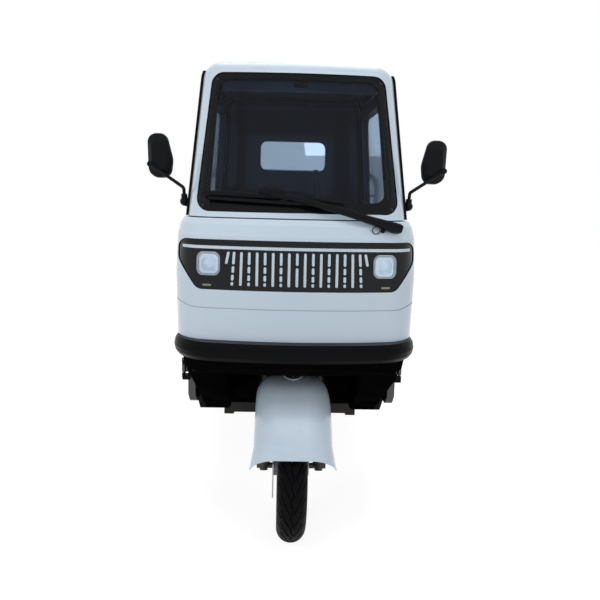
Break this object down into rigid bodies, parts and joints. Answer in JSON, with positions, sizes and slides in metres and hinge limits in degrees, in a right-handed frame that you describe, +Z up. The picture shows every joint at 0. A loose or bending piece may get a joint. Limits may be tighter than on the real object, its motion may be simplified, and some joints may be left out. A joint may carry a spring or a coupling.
{
  "type": "electric cargo tricycle",
  "caption": "Enclosed-cab electric cargo tricycle with one steered front wheel, opening doors and a drop-side load bed over the rear axle.",
  "frame": {"origin": "on the ground under the middle of the vehicle's length and width", "axes": "+Z up, +Y towards the tail, +X towards the vehicle's own left; the nose points along -Y"},
  "size_m": [1.104, 2.9507, 1.619],
  "materials": {
    "white_paint": "gloss",
    "black_paint": "satin",
    "bed_blue": "satin",
    "tub_black": "satin",
    "black_plastic": "matte",
    "gloss_black": "gloss",
    "bar_white": "gloss",
    "lamp_chrome": "gloss",
    "clear_glass": "clear",
    "seat_vinyl": "satin",
    "battery_grey": "matte",
    "lamp_red": "gloss",
    "cast_black": "matte",
    "spring_steel": "satin",
    "fork_silver": "satin",
    "disc_steel": "brushed",
    "tyre": "matte",
    "alloy": "satin"
  },
  "bodies": {
    "chassis": {"frame": "black_paint", "spring_hangers": "black_paint", "cab_tub": "tub_black", "front_apron": "black_plastic", "bumper": "black_plastic", "front_fascia": "white_paint", "grille_panel": "gloss_black", "light_bars": "bar_white", "headlamps": "lamp_chrome", "headlamp_lenses": "clear_glass", "windscreen_surround": "white_paint", "windscreen": "clear_glass", "roof": "white_paint", "side_frames": "black_plastic", "rear_wall": "white_paint", "rear_window": "clear_glass", "dashboard": "black_plastic", "seat_base": "black_paint", "seat_cushion": "seat_vinyl", "seat_back": "seat_vinyl", "battery_box": "battery_grey", "mirrors": "black_plastic", "wiper": "black_plastic", "brake_pedal": "black_paint", "bed_floor": "bed_blue", "headboard": "bed_blue", "mudguards_rear": "black_plastic", "tail_lamps": "lamp_red", "rear_axle": "cast_black", "leaf_springs": "spring_steel"},
    "left_door": {"door_left": "white_paint", "door_glass_left": "clear_glass"},
    "right_door": {"door_right": "white_paint", "door_glass_right": "clear_glass"},
    "left_side_board": {"side_board_left": "bed_blue"},
    "right_side_board": {"side_board_right": "bed_blue"},
    "tail_board": {"tailgate": "bed_blue"},
    "steering": {"fork": "fork_silver", "handlebar": "black_paint", "mudguard_front": "white_paint", "brake_caliper": "cast_black"},
    "front_wheel": {"tyre_front": "tyre", "rim_front": "alloy", "brake_disc": "disc_steel"},
    "rear_left_wheel": {"tyre_rear_left": "tyre", "rim_rear_left": "alloy"},
    "rear_right_wheel": {"tyre_rear_right": "tyre", "rim_rear_right": "alloy"}
  },
  "joints": [
    {"name": "steering_turn", "type": "hinge", "parent": "chassis", "child": "steering", "pos_m": [0, -1.15799, 0.24573], "axis": [0, 0.2756, 0.9613], "range_deg": [-30, 30]},
    {"name": "front_wheel_spin", "type": "hinge", "parent": "steering", "child": "front_wheel", "pos_m": [0, -1.1868, 0.254], "axis": [1, 0, 0], "continuous": true},
    {"name": "rear_left_wheel_spin", "type": "hinge", "parent": "chassis", "child": "rear_left_wheel", "pos_m": [0.41, 0.7732, 0.262], "axis": [1, 0, 0], "continuous": true},
    {"name": "rear_right_wheel_spin", "type": "hinge", "parent": "chassis", "child": "rear_right_wheel", "pos_m": [-0.41, 0.7732, 0.262], "axis": [1, 0, 0], "continuous": true},
    {"name": "left_door_open", "type": "hinge", "parent": "chassis", "child": "left_door", "pos_m": [0.392, -1.0398, 1], "axis": [0, 0, -1], "range_deg": [0, 65]},
    {"name": "right_door_open", "type": "hinge", "parent": "chassis", "child": "right_door", "pos_m": [-0.392, -1.0398, 1], "axis": [0, 0, 1], "range_deg": [0, 65]},
    {"name": "left_side_board_drop", "type": "hinge", "parent": "chassis", "child": "left_side_board", "pos_m": [0.543, 0.6132, 0.645], "axis": [0, 1, 0], "range_deg": [0, 175]},
    {"name": "right_side_board_drop", "type": "hinge", "parent": "chassis", "child": "right_side_board", "pos_m": [-0.543, 0.6132, 0.645], "axis": [0, -1, 0], "range_deg": [0, 175]},
    {"name": "tailgate_drop", "type": "hinge", "parent": "chassis", "child": "tail_board", "pos_m": [0, 1.466, 0.645], "axis": [-1, 0, 0], "range_deg": [0, 175]}
  ]
}
